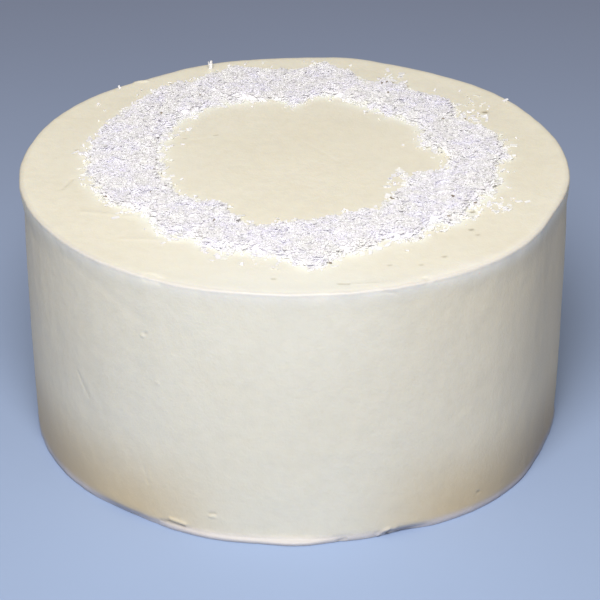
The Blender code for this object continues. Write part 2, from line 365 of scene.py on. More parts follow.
def spread_by_hand(points):
    """Swells and thins the turned coat as the uneven cream has it."""
    radius = np.hypot(points[:, 0], points[:, 1])
    angle = np.degrees(np.arctan2(points[:, 1], points[:, 0]))
    swell_over = (1.0 - SWELL_FROM) * CAKE_RADIUS
    near_edge = smooth_step((radius - SWELL_FROM * CAKE_RADIUS) / swell_over)
    under_rim = points[:, 2] - CAKE_HEIGHT + RIM_SWELL_FROM * RIM_DEPTH
    near_rim = smooth_step(under_rim / (RIM_SWELL_OVER * RIM_DEPTH))
    near_foot = smooth_step(FOOT_SWELL_TO - points[:, 2] / FOOT_HEIGHT)
    outward = swell(angle, SIDE_SWELLS)
    outward = outward + near_rim * swell(angle, RIM_SWELLS)
    outward = outward + near_foot * swell(angle, FOOT_SWELLS)
    grow = 1.0 + near_edge * outward / np.maximum(radius, LEAST_RADIUS)
    points[:, :2] *= grow[:, None]


def roughen(points, normals):
    """The low unevenness that the knife leaves, along the surface's own normal."""
    flat = normals[:, 2] ** 2
    rise = np.zeros(len(points))
    for size, height in TOP_UNEVENNESS:
        rise += flat * height * lumps(points, size)
    drawn_out = points * np.array((1.0, 1.0, SIDE_STRETCH))
    for size, height in SIDE_UNEVENNESS:
        rise += (1.0 - flat) * height * lumps(drawn_out, size, SIDE_START)
    above_foot = smooth_step(points[:, 2] / EVEN_FOOT)
    points += normals * (above_foot * rise)[:, None]


def fray_edges(points):
    """The rim's lip and the foot's smear waver along their length."""
    radius = np.maximum(np.hypot(points[:, 0], points[:, 1]), LEAST_RADIUS)
    around = points / radius[:, None] * CAKE_RADIUS
    around[:, 2] = 0.0
    at_rim = np.exp(-(((points[:, 2] - CAKE_HEIGHT) / RIM_WOBBLE_REACH) ** 2))
    at_rim *= smooth_step((radius - CAKE_RADIUS + RIM_WOBBLE_FROM) / RIM_WOBBLE_OVER)
    at_foot = smooth_step(FOOT_SWELL_TO - points[:, 2] / SMEAR_TOP) * (radius > FOOT_WOBBLE_FROM)
    outward = at_rim * RIM_WOBBLE * sum_of_lumps(around, RIM_WAVES)
    outward += at_foot * FOOT_WOBBLE * sum_of_lumps(around, FOOT_WAVES)
    points[:, :2] *= (1.0 + outward / radius)[:, None]
    points[:, 2] += RIM_RISE * RIM_WOBBLE * at_rim * lumps(around, RIM_RISE_SIZE, RIM_RISE_START)


def on_even_round(points):
    """The points, with those of the side moved in or out to the cake's plain radius."""
    radius = np.maximum(np.hypot(points[:, 0], points[:, 1]), LEAST_RADIUS)
    grow = np.where(radius > ON_SIDE * CAKE_RADIUS, CAKE_RADIUS / radius, 1.0)
    return points * np.column_stack((grow, grow, np.ones(len(points))))


def marks_beside(points):
    """Each mark's half width, depth and painted shade, and how far each point is from it."""
    for start, end, half_width, depth, darkness in TOP_MARKS:
        yield half_width, depth, darkness, away_from(points, on_top(start), on_top(end))
    even_points = on_even_round(points)
    for start, end, half_width, depth, darkness in SIDE_MARKS:
        yield half_width, depth, darkness, away_from(even_points, on_side(start), on_side(end))


cream = turn_outline("cream_coat", cream_outline(), ROUND_STEPS)
middle_edge = MIDDLE_RADIUS + SELECT_MARGIN
select_where(cream, lambda co: co.z > CAKE_HEIGHT - RIM_DEPTH and co.xy.length < middle_edge)
bpy.ops.mesh.fill_grid(span=ROUND_STEPS // 4)
bpy.ops.object.mode_set(mode="OBJECT")
points = read_points(cream)
beside_mark = np.zeros(len(points), bool)
for half_width, _, _, away in marks_beside(points):
    if half_width < FINE_MARK:
        beside_mark |= away < FINE_REACH
to_refine = {tuple(np.round(point, SAME_PLACE_DIGITS)) for point in points[beside_mark]}
bpy.ops.object.mode_set(mode="EDIT")
select_where(cream, lambda co: tuple(np.round(np.array(co), SAME_PLACE_DIGITS)) in to_refine)
bpy.ops.mesh.subdivide(number_cuts=FINE_CUTS)
bpy.ops.mesh.select_all(action="SELECT")
bpy.ops.mesh.normals_make_consistent(inside=False)
bpy.ops.object.mode_set(mode="OBJECT")
bpy.ops.object.shade_smooth_by_angle(angle=math.radians(SMOOTH_ANGLE))

points = read_points(cream)
normals = read_points(cream, "normal")
spread_by_hand(points)
roughen(points, normals)
fray_edges(points)
# Painted shade inside the pits: their colour is darkened by each mark's darkness
painted_pit_shade = np.zeros(len(points))
sink = np.zeros(len(points))
for half_width, depth, darkness, away in marks_beside(points):
    reach_of_mark = np.exp(-((away / half_width) ** 2))
    sink += depth * reach_of_mark
    painted_pit_shade = np.maximum(painted_pit_shade, darkness * reach_of_mark)
points -= normals * sink[:, None]
angle = np.degrees(np.arctan2(points[:, 1], points[:, 0]))
rim_reach = CAKE_RADIUS + RIM_LIP + swell(angle, SIDE_SWELLS) + swell(angle, RIM_SWELLS)
from_rim = rim_reach - np.hypot(points[:, 0], points[:, 1])
# Painted highlight: the rim's lip is paler along the front
painted_rim_highlight = np.exp(-((from_rim / (LIP_WIDTH + swell(angle, LIP_SWELLS))) ** 2))
painted_rim_highlight *= np.exp(-(((points[:, 2] - CAKE_HEIGHT) / LIP_DROP) ** 2))
painted_rim_highlight *= RIM_HIGHLIGHT_AMOUNT * smooth_step(-points[:, 1] / LIP_FRONT)
# Painted shade: the rim's very edge is darkened
painted_edge_shade = np.exp(-((from_rim / EDGE_WIDTH) ** 2))
painted_edge_shade *= np.exp(-(((points[:, 2] - CAKE_HEIGHT) / EDGE_WIDTH) ** 2))
# Painted sheen: the top is paler towards its front
painted_front_sheen = swell(angle, FRONT_SHEEN_SWELLS) * np.exp(-((from_rim / FRONT_SHEEN_REACH) ** 2))
painted_front_sheen *= smooth_step(FRONT_SHEEN_DEPTH - (CAKE_HEIGHT - points[:, 2]) / RIM_ROUNDING)
# Painted warm shade: the side is tinted warmer and darker on its flanks and low down
warm_flank_shade = swell(angle, WARM_SHADE_SWELLS)
warm_flank_shade *= smooth_step((CAKE_HEIGHT - points[:, 2]) / RIM_DEPTH)
on_flank = smooth_step((np.abs(points[:, 0]) - FLANK_FROM) / FLANK_OVER)
low_down = LOW_WARM_SHADE * on_flank * (1.0 - smooth_step(points[:, 2] / LOW_CREAM))
low_down *= smooth_step((LOW_CREAM_BACK - points[:, 1]) / LOW_CREAM_OVER)
warm_flank_shade = 1.0 - (1.0 - warm_flank_shade) * (1.0 - low_down)
# Painted shade: the cream is darker low down beside the front
painted_low_shade = swell(angle, LOW_SHADE_SWELLS) * (1.0 - smooth_step(points[:, 2] / LOW_SHADE_HEIGHT))
# Painted shade: the colour darkens at the very foot, most of all on the flanks
painted_foot_shade = 1.0 - smooth_step((points[:, 2] - FOOT_SHADE_HEIGHT) / FOOT_SHADE_FADE)
painted_foot_shade *= FOOT_SHADE_LEAST + (1.0 - FOOT_SHADE_LEAST) * on_flank
points[:, 2] = np.maximum(points[:, 2], 0.0)
cake_slide = np.array((cad_low + cad_high) / 2.0) - (points.min(0) + points.max(0)) / 2.0
cake_slide[2] = 0.0
write_points(cream, points + cake_slide)


def keep_amounts(piece, name, amounts):
    """Keeps one amount from 0 to 1 at each vertex, for the material to read."""
    attribute = piece.data.attributes.new(name, "FLOAT", "POINT")
    attribute.data.foreach_set("value", np.asarray(amounts, np.float32))


keep_amounts(cream, "painted_pit_shade", painted_pit_shade)
keep_amounts(cream, "painted_rim_highlight", painted_rim_highlight)
keep_amounts(cream, "painted_edge_shade", painted_edge_shade)
keep_amounts(cream, "painted_front_sheen", painted_front_sheen)
keep_amounts(cream, "warm_flank_shade", warm_flank_shade)
keep_amounts(cream, "painted_low_shade", painted_low_shade)
keep_amounts(cream, "painted_foot_shade", painted_foot_shade)


def new_material(name):
    """A material with its shader and its nodes, ready to be wired."""
    material = bpy.data.materials.new(name)
    material.use_nodes = True
    return material, material.node_tree.nodes["Principled BSDF"]


def add_node(material, kind, **settings):
    node = material.node_tree.nodes.new(kind)
    for name, value in settings.items():
        setattr(node, name, value)
    return node


def wire(material, source, target):
    material.node_tree.links.new(source, target)


def add_noise(material, where, scale, detail, roughness):
    """A noise texture on the piece's own coordinates, in lumps to the metre."""
    node = add_node(material, "ShaderNodeTexNoise")
    node.inputs["Scale"].default_value = scale
    node.inputs["Detail"].default_value = detail
    node.inputs["Roughness"].default_value = roughness
    wire(material, where, node.inputs["Vector"])
    return node.outputs["Fac"]


def add_ramp(material, amount, stops):
    """Colours or greys along an amount, as pairs of place and colour."""
    node = add_node(material, "ShaderNodeValToRGB")
    node.color_ramp.elements[0].position = stops[0][0]
    node.color_ramp.elements[1].position = stops[-1][0]
    for place, _ in stops[1:-1]:
        node.color_ramp.elements.new(place)
    for element, (_, colour) in zip(node.color_ramp.elements, stops):
        element.color = (*colour, 1.0)
    wire(material, amount, node.inputs["Fac"])
    return node.outputs["Color"]


def add_mix(material, amount, first, second, blend="MIX"):
    """Mixes two colours. Of the node's own sockets, 0 is the amount, and 6 and 7 are the colours."""
    node = add_node(material, "ShaderNodeMix", data_type="RGBA", blend_type=blend)
    for socket, value in ((0, amount), (6, first), (7, second)):
        if isinstance(value, (float, tuple)):
            node.inputs[socket].default_value = value
        else:
            wire(material, value, node.inputs[socket])
    return node.outputs[2]


def add_bump(material, height, distance, before=None):
    node = add_node(material, "ShaderNodeBump")
    node.inputs["Distance"].default_value = distance
    wire(material, height, node.inputs["Height"])
    if before is not None:
        wire(material, before, node.inputs["Normal"])
    return node.outputs["Normal"]


def add_amount(material, name):
    """The amount that the piece keeps at each of its vertices under this name."""
    return add_node(material, "ShaderNodeAttribute", attribute_name=name).outputs["Fac"]


def set_sockets(shader, values):
    """Sets what is the same all over a finish."""
    for name, value in values.items():
        shader.inputs[name].default_value = value


IVORY = (0.806, 0.776, 0.668)
WARM_IVORY = (0.798, 0.764, 0.650)
PALE_IVORY = (0.817, 0.792, 0.692)
# The colour of the painted sheen on the top's front
FRONT_SHEEN_IVORY = (0.812, 0.817, 0.766)
# The colour of the painted highlight on the rim's lip
RIM_HIGHLIGHT_IVORY = (0.885, 0.872, 0.835)
# The colour of the painted shade inside the pits
HOLLOW_SHADE = (0.330, 0.285, 0.205)
# The colour of the painted warm shade on the side
WARM_SHADE_TINT = (0.865, 0.715, 0.505)
# The colour of the painted shade low down beside the front
LOW_SHADE_TINT = (0.620, 0.620, 0.665)
# The colour of the painted shade at the foot
FOOT_SHADE_TINT = (0.540, 0.520, 0.550)
DUSTED_CREAM = (0.890, 0.900, 0.825)
# The colour of the painted shade along the rim's edge
EDGE_SHADE_TINT = (0.770, 0.752, 0.765)
SPECKLE = (0.970, 0.967, 0.960)
PLAIN = (1.0, 1.0, 1.0)
SHINIER = (0.44, 0.44, 0.44)
DULLER = (0.58, 0.58, 0.58)

# Its noises, by lumps to the metre, detail and roughness, and the colours along them
CREAM_PATCHES = (16.0, 3.0, 0.55)
CREAM_MOTTLE = (260.0, 4.0, 0.6)
CREAM_GRAIN = (900.0, 3.0, 0.6)
IVORY_STOPS = ((0.36, WARM_IVORY), (0.50, IVORY), (0.66, PALE_IVORY))
SPECKLE_STOPS = ((0.30, SPECKLE), (0.60, PLAIN))
GLOSS_STOPS = ((0.30, SHINIER), (0.70, DULLER))
MOTTLE_RELIEF = 0.00014
GRAIN_RELIEF = 0.00009

# Each tint goes over those before it, where the cream keeps its amount
CREAM_TINTS = (
    ("warm_flank_shade", WARM_SHADE_TINT, "MULTIPLY"),
    ("painted_foot_shade", FOOT_SHADE_TINT, "MIX"),
    ("painted_low_shade", LOW_SHADE_TINT, "MULTIPLY"),
    ("painted_front_sheen", FRONT_SHEEN_IVORY, "MIX"),
    ("painted_rim_highlight", RIM_HIGHLIGHT_IVORY, "MIX"),
    ("painted_edge_shade", EDGE_SHADE_TINT, "MULTIPLY"),
    ("coconut_dust", DUSTED_CREAM, "MIX"),
    ("painted_pit_shade", HOLLOW_SHADE, "MIX"),
)
CREAM_SOCKETS = {
    "Specular IOR Level": 0.42,
    "Subsurface Weight": 0.25,
    "Subsurface Scale": 0.0025,
    "Subsurface Radius": (1.0, 0.85, 0.6),
}

cream_finish, shader = new_material("ivory_cream")
place = add_node(cream_finish, "ShaderNodeTexCoord").outputs["Object"]
patches = add_noise(cream_finish, place, *CREAM_PATCHES)
mottle = add_noise(cream_finish, place, *CREAM_MOTTLE)
fine_grain = add_noise(cream_finish, place, *CREAM_GRAIN)
colour = add_ramp(cream_finish, patches, IVORY_STOPS)
speckle = add_ramp(cream_finish, mottle, SPECKLE_STOPS)
colour = add_mix(cream_finish, 1.0, colour, speckle, "MULTIPLY")
for name, tint, blend in CREAM_TINTS:
    showing = add_amount(cream_finish, name)
    colour = add_mix(cream_finish, showing, colour, (*tint, 1.0), blend)
wire(cream_finish, colour, shader.inputs["Base Color"])
gloss = add_ramp(cream_finish, mottle, GLOSS_STOPS)
wire(cream_finish, gloss, shader.inputs["Roughness"])
relief = add_bump(cream_finish, mottle, MOTTLE_RELIEF)
relief = add_bump(cream_finish, fine_grain, GRAIN_RELIEF, relief)
wire(cream_finish, relief, shader.inputs["Normal"])
set_sockets(shader, CREAM_SOCKETS)
cream.data.materials.append(cream_finish)
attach(cream, "root")
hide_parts("cake")

# The bed of coconut. Desiccated coconut is strewn by hand in a ring, where its lowest flakes press
# together into a low lumpy bank, about two millimetres high, that sinks to nothing at ragged edges.
RING_CENTRE = (0.001, 0.009)
RING_INNER = 0.0600
RING_OUTER = 0.0870
RING_INNER_SWELLS = (
    (2.0, 5.0, 0.0030),
    (14.0, 8.0, -0.0055),
    (49.0, 5.0, -0.0030),
    (78.0, 8.0, 0.0035),
    (92.0, 6.0, -0.0070),
    (130.0, 22.0, 0.0040),
    (184.0, 16.0, -0.0035),
    (234.0, 10.0, -0.0065),
    (254.0, 10.0, 0.0055),
    (291.0, 17.0, -0.0030),
    (319.0, 8.0, -0.0070),
    (336.0, 9.0, -0.0115),
    (349.0, 6.0, 0.0060),
)
RING_OUTER_SWELLS = (
    (28.0, 8.0, -0.0100),
    (50.0, 7.0, -0.0045),
    (67.0, 5.0, -0.0060),
    (82.0, 5.0, 0.0085),
    (107.0, 9.0, 0.0070),
    (130.0, 12.0, 0.0040),
    (220.0, 8.0, -0.0070),
    (240.0, 3.0, -0.0045),
    (273.0, 6.0, 0.0110),
    (295.0, 4.0, -0.0055),
    (310.0, 4.0, -0.0080),
    (330.0, 9.0, -0.0035),
    (351.0, 7.0, -0.0050),
)
RAGGED_EDGE = 0.0028
RAGGED_SIZE = 0.0055

# The bank's height and slope, and its clumps: their size, where their noise starts and their share
BANK_HEIGHT = 0.0026
BANK_SLOPE = 0.0040
CLUMP_LEVEL = 0.9
CLUMPS = ((0.0085, 1.0, 0.5), (0.0036, 2.0, 0.6))
BED_SHARE = 0.92
BED_STEPS = 720
BED_ROWS = 68
BED_MARGIN = 0.0045
BED_SINK = 0.0005
BED_SMOOTH_ANGLE = 60.0
CRUMB_RELIEF = ((0.0024, 0.00035), (0.0011, 0.00020))
CRUMB_START = 21.0

# Its dust whitens the cream beside it, in patches, most of all along the edges that face the front
DUST_REACH = 0.0050
DUST_PATCH = 0.0070
DUST_START = 11.0
DUST_LEVEL = 0.8
DUST_CONTRAST = 1.3
DUST_FACING = 0.3
DUST_LEAST = 0.25


def ring_edges(angle):
    """How far the ring's inner and outer edges are from its own middle."""
    inner = RING_INNER + swell(angle, RING_INNER_SWELLS)
    outer = RING_OUTER + swell(angle, RING_OUTER_SWELLS)
    return inner, outer


def inside_ring(places):
    """How far each place is inside the ring's edges, negative where it is outside them."""
    across = places[:, 0] - RING_CENTRE[0]
    along = places[:, 1] - RING_CENTRE[1]
    reach = np.hypot(across, along)
    inner, outer = ring_edges(np.degrees(np.arctan2(along, across)))
    return np.minimum(reach - inner, outer - reach)


def flat_lumps(places, size, start=0.0):
    flat = np.column_stack((places[:, 0] + start, places[:, 1], np.zeros(len(places))))
    return lumps(flat, size)


def inside_ragged(places):
    """The same from the edges as the strewn coconut leaves them, ragged."""
    return inside_ring(places) + RAGGED_EDGE * flat_lumps(places, RAGGED_SIZE)


def ring_rise(places):
    """0 outside the coconut, 1 on its bank, sloping between its ragged edges."""
    return smooth_step(inside_ragged(places) / BANK_SLOPE)


def bank_height(places):
    """Height of the coconut over the cream, in clumps."""
    clumps = CLUMP_LEVEL
    for size, start, share in CLUMPS:
        clumps = clumps + share * flat_lumps(places, size, start)
    return BANK_HEIGHT * clumps * ring_rise(places)


def dust_share(places):
    """How much coconut dust lies on the cream at each place, from 0 to 1."""
    across = places[:, 0] - RING_CENTRE[0]
    along = places[:, 1] - RING_CENTRE[1]
    reach = np.maximum(np.hypot(across, along), LEAST_RADIUS)
    outer_side = np.where(reach > 0.5 * (RING_INNER + RING_OUTER), 1.0, -1.0)
    faces_front = np.clip(DUST_FACING - outer_side * along / reach, 0.0, 1.0)
    patches = DUST_LEVEL + DUST_CONTRAST * flat_lumps(places, DUST_PATCH, DUST_START)
    patches = np.clip(patches, 0.0, 1.0)
    beside = np.exp(-((np.minimum(inside_ring(places), 0.0) / DUST_REACH) ** 2))
    on_the_top = places[:, 2] > CAKE_HEIGHT - RIM_ROUNDING
    return on_the_top * beside * patches * (DUST_LEAST + (1.0 - DUST_LEAST) * faces_front)


def surface_of(piece):
    """A tree that finds where this piece's surface is."""
    bm = bmesh.new()
    bm.from_mesh(piece.data)
    tree = BVHTree.FromBMesh(bm)
    bm.free()
    return tree


def height_under(tree, places):
    """The surface's height below each place, or 0 where there is none."""
    down = Vector((0.0, 0.0, -1.0))
    heights = np.zeros(len(places))
    for number, (x, y) in enumerate(places[:, :2].tolist()):
        hit = tree.ray_cast(Vector((x, y, 2.0 * CAKE_HEIGHT)), down)[0]
        if hit is not None:
            heights[number] = hit.z
    return heights


bed_width = RING_OUTER - RING_INNER + 2.0 * BED_MARGIN
bed_outline = []
for row in range(BED_ROWS + 1):
    bed_outline.append((RING_OUTER + BED_MARGIN - bed_width * row / BED_ROWS, CAKE_HEIGHT))
bed = turn_outline("coconut_bed", bed_outline, BED_STEPS)
bm = bmesh.from_edit_mesh(bed.data)
for edge in bm.edges:
    edge.select_set(False)
for edge in bm.edges:
    if edge.is_boundary:
        edge.select_set(True)
bmesh.update_edit_mesh(bed.data)
bpy.ops.mesh.select_mode(type="EDGE")
bpy.ops.mesh.bridge_edge_loops()
bpy.ops.mesh.select_all(action="SELECT")
bpy.ops.mesh.normals_make_consistent(inside=False)
bpy.ops.object.mode_set(mode="OBJECT")

cream_surface = surface_of(cream)
keep_amounts(cream, "coconut_dust", dust_share(read_points(cream) - cake_slide))
points = read_points(bed)
reach = np.hypot(points[:, 0], points[:, 1])
angle = np.arctan2(points[:, 1], points[:, 0])
inner, outer = ring_edges(np.degrees(angle))
share = (reach - RING_INNER + BED_MARGIN) / bed_width
reach = inner - BED_MARGIN + share * (outer - inner + 2.0 * BED_MARGIN)
points[:, 0] = RING_CENTRE[0] + reach * np.cos(angle)
points[:, 1] = RING_CENTRE[1] + reach * np.sin(angle)
rise = ring_rise(points)
crumbs = np.zeros(len(points))
for size, height_of_crumb in CRUMB_RELIEF:
    crumbs += height_of_crumb * lumps(points, size, CRUMB_START)
lift = BED_SHARE * bank_height(points) + rise * crumbs - BED_SINK * (1.0 - rise)
points += cake_slide
points[:, 2] = height_under(cream_surface, points) + lift
write_points(bed, points)
bpy.ops.object.shade_smooth_by_angle(angle=math.radians(BED_SMOOTH_ANGLE))

DARK_BROWN = (0.300, 0.255, 0.215)
COCONUT_SHADE = (0.790, 0.784, 0.886)
COCONUT_MIDDLE = (0.860, 0.859, 0.950)
COCONUT_WHITE = (0.911, 0.917, 0.978)
COCONUT_CREAMY = (0.928, 0.936, 0.880)
COCONUT_FLECK = (0.98, 0.98, 0.99)
SHADE_STOPS = (
    (0.00, DARK_BROWN),
    (0.04, COCONUT_SHADE),
    (0.35, COCONUT_MIDDLE),
    (0.75, COCONUT_WHITE),
    (1.00, COCONUT_CREAMY),
)

# Patches of it are creamier, where it took up butter from the cream, or colder, where it is dry
CREAMY_TONE = (1.000, 0.992, 0.950)
DRY_TONE = (0.983, 0.973, 1.000)
TONE_PATCHES = (85.0, 2.0, 0.5)
TONE_STOPS = ((0.40, CREAMY_TONE), (0.60, DRY_TONE))

# Its fibres show as the finest flecks and relief
COCONUT_FIBRES = (1800.0, 3.0, 0.6)
FLECK_STOPS = ((0.30, COCONUT_FLECK), (0.60, PLAIN))
FIBRE_RELIEF = 0.00005
COCONUT_SOCKETS = {
    "Roughness": 0.55,
    "Specular IOR Level": 0.30,
    "Subsurface Weight": 0.6,
    "Subsurface Radius": (1.0, 0.96, 1.0),
}

# The bed's own shade, in small patches, and how deep light passes into it
BED_SHADE = 0.50
BED_SHADE_RANGE = 0.25
BED_SHADE_SIZE = 0.0016
BED_SHADE_START = 31.0
BED_SHADE_LIMITS = (0.1, 0.75)
BED_DEPTH = 0.0012


def coconut_material(name, deep):
    """Dry white coconut, which light passes into this deep, each flake in its own shade."""
    material, shader = new_material(name)
    place = add_node(material, "ShaderNodeTexCoord").outputs["Object"]
    colour = add_ramp(material, add_amount(material, "shade"), SHADE_STOPS)
    fibres = add_noise(material, place, *COCONUT_FIBRES)
    fleck = add_ramp(material, fibres, FLECK_STOPS)
    colour = add_mix(material, 1.0, colour, fleck, "MULTIPLY")
    patches = add_noise(material, place, *TONE_PATCHES)
    tone = add_ramp(material, patches, TONE_STOPS)
    colour = add_mix(material, 1.0, colour, tone, "MULTIPLY")
    wire(material, colour, shader.inputs["Base Color"])
    wire(material, add_bump(material, fibres, FIBRE_RELIEF), shader.inputs["Normal"])
    set_sockets(shader, COCONUT_SOCKETS)
    shader.inputs["Subsurface Scale"].default_value = deep
    return material


bed_shades = BED_SHADE + BED_SHADE_RANGE * lumps(points, BED_SHADE_SIZE, BED_SHADE_START)
keep_amounts(bed, "shade", np.clip(bed_shades, *BED_SHADE_LIMITS))
bed.data.materials.append(coconut_material("pressed_coconut", BED_DEPTH))
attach(bed, "root")
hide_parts("cake")

# The broad flakes. They are shavings of dried coconut, 1 to 4 mm long and a quarter of one thick,
# bent as they dried, and they lie on the bank, on each other and, loose, just outside it.
SEED = 20
FLAKE_KINDS = 6
FLAKE_LENGTH = 0.0026
FLAKE_WIDTH = 0.0016
FLAKE_THICKNESS = 0.00025
FLAKE_PARTS = 2
FLAKE_NUMBER = 8000
FLAKE_PILE = 0.0003
FLAKE_TILT = 6.0
FLAKE_KIND_SIZES = (0.8, 1.2)
FLAKE_SIZES = (0.55, 1.35)
FLAKE_DEPTH = 0.0005
ACROSS_SIZES = (0.75, 1.25)
THROUGH_SIZES = (0.7, 1.3)
LIE_HEIGHT = 0.4

# How much less ragged a shaving is through its thickness than along its edges
FLATNESS = 0.5

# How a shaving bends, steps aside, narrows and thins from part to part, and how torn it is
BEND = (0.15, 0.45)
BEND_START = 0.3
ASIDE = 0.12
NARROWING = (0.65, 1.15)
THINNING = (0.8, 1.1)
TORN = 0.12
TORN_EVENNESS = 0.6
END_MARGIN = 0.1
TEARS = 1000

# A flake's shade, from 0 to 1: its level, its chance, the ring's darker and lighter patches, and
# how much creamier the outermost are
SHADE_LEVEL = 0.25
SHADE_RANGE = 0.32
SHADE_CHANCE = (2.0, 2.0)
SHADE_PATCHES = 0.50
SHADE_SIZE = 0.0040
SHADE_START = 8.0
OUTER_CREAM = 0.50
OUTER_CREAM_LEAST = 0.3
SHADE_LEAST = 0.06

# How the coconut thins out over the ring's edges, in clumps
STREWN_BEYOND = 0.018
DENSE_FROM = 0.0010
FRINGE_SHARE = 0.75
FRINGE_REACH = 0.0014
FRINGE_SIZE = 0.0050
FRINGE_START = 4.0
FRINGE_LEVEL = 0.5
FRINGE_CONTRAST = 0.9
FRINGE_LEAST = 0.05

# Where loose coconut lies apart from the bank: angle, reach from the ring's middle, size, share
LOOSE_PATCHES = (
    (29.0, 0.0850, 0.0070, 0.45),
    (38.0, 0.0945, 0.0045, 0.35),
    (64.0, 0.0900, 0.0055, 0.45),
    (216.0, 0.0850, 0.0040, 0.35),
    (252.0, 0.0900, 0.0045, 0.45),
    (263.0, 0.0930, 0.0060, 0.25),
    (290.0, 0.0600, 0.0040, 0.40),
    (310.0, 0.0850, 0.0040, 0.50),
    (331.0, 0.0925, 0.0056, 0.50),
    (334.0, 0.0450, 0.0052, 0.95),
    (351.0, 0.0850, 0.0035, 0.45),
)
LOOSE_FLAKES = 0.6
LOOSE_SIZE = 0.0030
LOOSE_START = 6.0
LOOSE_LEVEL = 0.6
LOOSE_CONTRAST = 1.6
LOOSE_LIMITS = (0.05, 1.3)


def tear(offset, evenness, draw):
    """Pulls what is selected about by chance."""
    bpy.ops.transform.vertex_random(offset=offset, uniform=evenness, seed=draw.randrange(TEARS))


def take_shape(piece):
    """Reads a modelled shape's points and faces, and removes its object."""
    points = read_points(piece)
    faces = np.array([polygon.vertices[:] for polygon in piece.data.polygons])
    bpy.data.objects.remove(piece, do_unlink=True)
    return points, faces


def model_shaving(name, length, width, thickness, parts, draw):
    """A bent, ragged strip: a small block whose end is extruded on, part by part."""
    bpy.ops.object.select_all(action="DESELECT")
    bpy.ops.mesh.primitive_cube_add(size=1.0, location=(0.0, 0.0, 0.0))
    strip = bpy.context.object
    strip.name = name
    bpy.ops.object.mode_set(mode="EDIT")
    bpy.ops.mesh.select_all(action="SELECT")
    part = length / parts
    bpy.ops.transform.resize(value=(part, width, thickness / FLATNESS))
    bend = draw.uniform(*BEND) * part / FLATNESS
    end = 0.5 * part
    for number in range(1, parts):
        select_where(strip, lambda co: co.x > end - END_MARGIN * part)
        aside = draw.uniform(-ASIDE, ASIDE) * width
        step = (part, aside, bend * (number - 0.5 * parts + BEND_START))
        bpy.ops.mesh.extrude_region_move(TRANSFORM_OT_translate={"value": step})
        narrow = draw.uniform(*NARROWING)
        bpy.ops.transform.resize(value=(1.0, narrow, draw.uniform(*THINNING)))
        end += part
    bpy.ops.mesh.select_all(action="SELECT")
    tear(TORN * width, TORN_EVENNESS, draw)
    bpy.ops.transform.resize(value=(1.0, 1.0, FLATNESS))
    bpy.ops.mesh.normals_make_consistent(inside=False)
    bpy.ops.object.mode_set(mode="OBJECT")
    points, faces = take_shape(strip)
    return points - (points.min(0) + points.max(0)) / 2.0, faces


def strew(draw, number, chance):
    """Places in and round the ring, kept by their chance from 0 to 1."""
    inner = RING_INNER - STREWN_BEYOND
    outer = RING_OUTER + STREWN_BEYOND
    kept = []
    while len(kept) < number:
        reach = np.sqrt(draw.uniform(inner**2, outer**2, number))
        angle = draw.uniform(0.0, math.tau, number)
        places = np.column_stack((reach * np.cos(angle), reach * np.sin(angle)))
        places += np.array(RING_CENTRE)
        kept.extend(places[draw.uniform(0.0, 1.0, number) < chance(places)].tolist())
    return np.array(kept[:number])


def loose_share(places):
    """How much loose coconut lies at each place, in clumps, from 0 to 1."""
    share = np.zeros(len(places))
    for angle, reach, size, most in LOOSE_PATCHES:
        turn = math.radians(angle)
        across = places[:, 0] - RING_CENTRE[0] - reach * math.cos(turn)
        along = places[:, 1] - RING_CENTRE[1] - reach * math.sin(turn)
        share = np.maximum(share, most * np.exp(-(across**2 + along**2) / size**2))
    clumps = LOOSE_LEVEL + LOOSE_CONTRAST * flat_lumps(places, LOOSE_SIZE, LOOSE_START)
    return share * np.clip(clumps, *LOOSE_LIMITS)


def bank_chance(places):
    """Dense on the bank, thinning out over its edges in clumps."""
    clumps = FRINGE_LEVEL + FRINGE_CONTRAST * flat_lumps(places, FRINGE_SIZE, FRINGE_START)
    edge = inside_ragged(places)
    fringe = FRINGE_SHARE * np.exp(np.minimum(edge, 0.0) / FRINGE_REACH)
    fringe *= np.clip(clumps, FRINGE_LEAST, 1.0)
    outside = np.maximum(fringe, LOOSE_FLAKES * loose_share(places))
    return np.where(edge > DENSE_FROM, 1.0, outside)


def turns(draw, number, tilt):
    """A turning matrix for each of many flakes: any way round, then tilted off the flat."""
    matrices = np.empty((number, 3, 3))
    for row in range(number):
        lean = math.radians(draw.normal(0.0, tilt))
        roll = math.radians(draw.normal(0.0, tilt))
        spin = draw.uniform(0.0, math.tau)
        matrices[row] = np.array(Euler((roll, lean, spin), "XYZ").to_matrix())
    return matrices


def join_coconut(name, points, faces, shades, material):
    """Joins many loose shapes into one piece: a list of points, of faces and of shades each."""
    starts = np.cumsum([0] + [len(each) for each in points[:-1]])
    shifted = [each + start for each, start in zip(faces, starts)]
    mesh = bpy.data.meshes.new(name)
    mesh.from_pydata(np.concatenate(points).tolist(), [], np.concatenate(shifted).tolist())
    piece = bpy.data.objects.new(name, mesh)
    bpy.context.scene.collection.objects.link(piece)
    keep_amounts(piece, "shade", np.concatenate(shades))
    mesh.materials.append(material)
    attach(piece, "root")
    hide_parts("cake")


